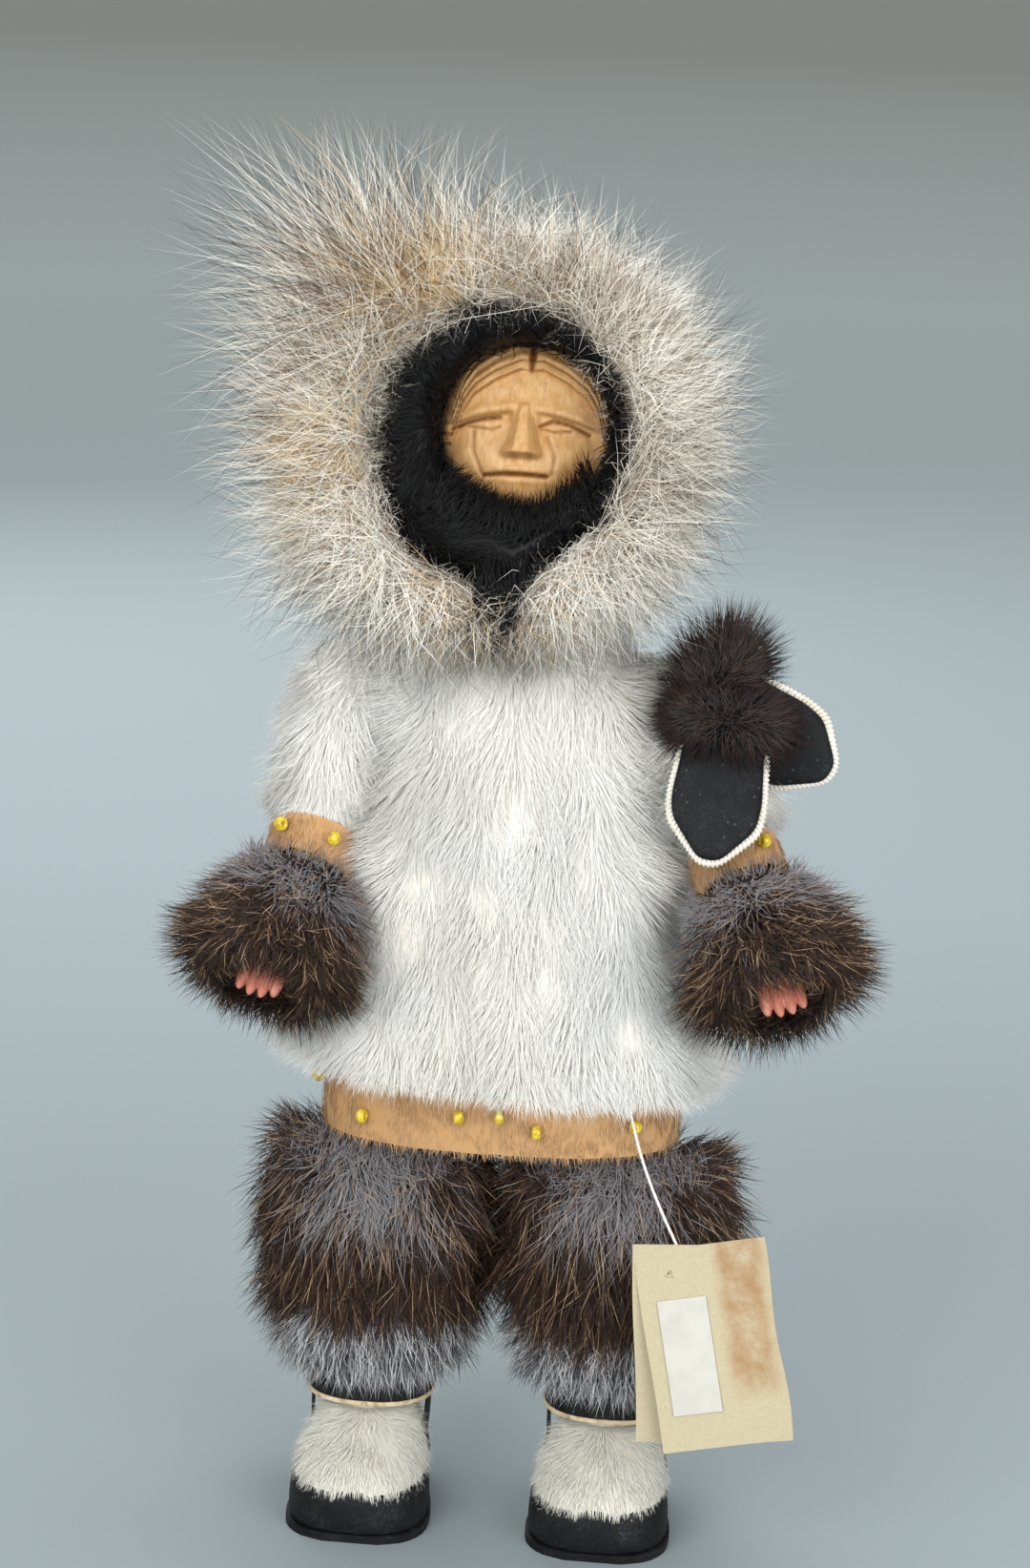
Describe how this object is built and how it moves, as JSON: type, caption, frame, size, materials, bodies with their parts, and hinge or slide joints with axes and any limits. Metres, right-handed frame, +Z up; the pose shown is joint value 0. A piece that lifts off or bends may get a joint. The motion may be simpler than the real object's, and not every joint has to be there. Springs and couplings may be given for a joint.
{
  "type": "fur doll",
  "caption": "Standing fur doll with a carved wooden face in a fur-ruffed hood, white parka, fur cuffs, leggings and boots, spare mittens on one sleeve and a card tag.",
  "frame": {"origin": "middle of the footprint of the doll without its tag, on the plane of its soles", "axes": "+Z up along the standing doll, -Y the way it faces, +X towards its left hand"},
  "size_m": [0.179, 0.1116, 0.3724],
  "materials": {
    "white_fur": "long soft white rabbit fur on hide",
    "ruff_fur": "long cream, grey and tan guard hair on hide",
    "black_fur": "dense short black fur on hide",
    "brown_fur": "brown fur with pale tips and grey underfur",
    "grey_fur": "grey fur with white tips",
    "tan_hide": "short tan calf hair on hide",
    "mink_fur": "sleek dark brown mink",
    "black_leather": "matt black leather",
    "white_leather": "soft white leather with ribbed stitching",
    "welt": "thin tan welt strip with stitches",
    "face_wood": "honey-coloured carved wood, waxed",
    "core_wood": "plain turned wood",
    "stuffed_cotton": "plain cotton cloth, stuffed",
    "hand_plastic": "soft moulded pink plastic",
    "bead_glass": "clear amber-yellow glass",
    "card": "aged cream card with a faint stain",
    "sticker_paper": "plain white label paper",
    "thread": "twisted white cotton thread"
  },
  "bodies": {
    "torso": {"trunk": "stuffed_cotton", "parka": "white_fur", "hip_band": "tan_hide", "neck_post": "core_wood", "hip_bead_1": "bead_glass", "hip_bead_2": "bead_glass", "hip_bead_3": "bead_glass", "hip_bead_4": "bead_glass", "hip_bead_5": "bead_glass", "hip_bead_6": "bead_glass", "hip_bead_7": "bead_glass", "hip_bead_8": "bead_glass", "hip_bead_9": "bead_glass", "hip_bead_10": "bead_glass"},
    "head": {"head_core": "core_wood", "carved_face": "face_wood", "face_lining": "black_fur", "hood": "white_fur", "hood_ruff": "ruff_fur"},
    "left_arm": {"arm_left": "stuffed_cotton", "sleeve_left": "white_fur", "sleeve_cuff_left": "tan_hide", "wrist_fur_left": "brown_fur", "hand_left": "hand_plastic", "cuff_bead_left_1": "bead_glass", "cuff_bead_left_2": "bead_glass", "front_mitten_back": "white_leather", "front_mitten_palm": "black_leather", "front_mitten_mink": "mink_fur", "side_mitten_back": "white_leather", "side_mitten_palm": "black_leather", "side_mitten_mink": "mink_fur"},
    "right_arm": {"arm_right": "stuffed_cotton", "sleeve_right": "white_fur", "sleeve_cuff_right": "tan_hide", "wrist_fur_right": "brown_fur", "hand_right": "hand_plastic", "cuff_bead_right_1": "bead_glass", "cuff_bead_right_2": "bead_glass"},
    "left_leg": {"leg_left": "stuffed_cotton", "legging_left": "brown_fur", "boot_cuff_left": "grey_fur", "ankle_tie_left": "black_leather", "boot_piping_left": "welt", "boot_upper_left": "white_fur", "boot_wall_left": "black_leather", "sole_left": "black_leather"},
    "right_leg": {"leg_right": "stuffed_cotton", "legging_right": "brown_fur", "boot_cuff_right": "grey_fur", "ankle_tie_right": "black_leather", "boot_piping_right": "welt", "boot_upper_right": "white_fur", "boot_wall_right": "black_leather", "sole_right": "black_leather"},
    "tag": {"tag_thread": "thread", "tag_card": "card", "tag_sticker": "sticker_paper"}
  },
  "joints": [
    {"name": "head_turn", "type": "hinge", "parent": "torso", "child": "head", "pos_m": [-0.00673, 0.00677, 0.2546], "axis": [0, 0, 1], "range_deg": [-20, 20]},
    {"name": "left_shoulder", "type": "hinge", "parent": "torso", "child": "left_arm", "pos_m": [0.03627, 0.00377, 0.237], "axis": [-1, 0, 0], "range_deg": [0, 70]},
    {"name": "right_shoulder", "type": "hinge", "parent": "torso", "child": "right_arm", "pos_m": [-0.04973, 0.00377, 0.237], "axis": [-1, 0, 0], "range_deg": [0, 70]},
    {"name": "left_hip", "type": "hinge", "parent": "torso", "child": "left_leg", "pos_m": [0.02727, 0.00277, 0.0871], "axis": [-1, 0, 0], "range_deg": [0, 90]},
    {"name": "right_hip", "type": "hinge", "parent": "torso", "child": "right_leg", "pos_m": [-0.04073, 0.00277, 0.0871], "axis": [-1, 0, 0], "range_deg": [0, 90]},
    {"name": "tag_swing", "type": "hinge", "parent": "torso", "child": "tag", "pos_m": [0.03027, -0.02274, 0.12909], "axis": [-1, 0, 0], "range_deg": [0, 90]}
  ],
  "couplings": [
    {"joint": "tag_swing", "follows": "left_hip", "ratio": 1}
  ]
}
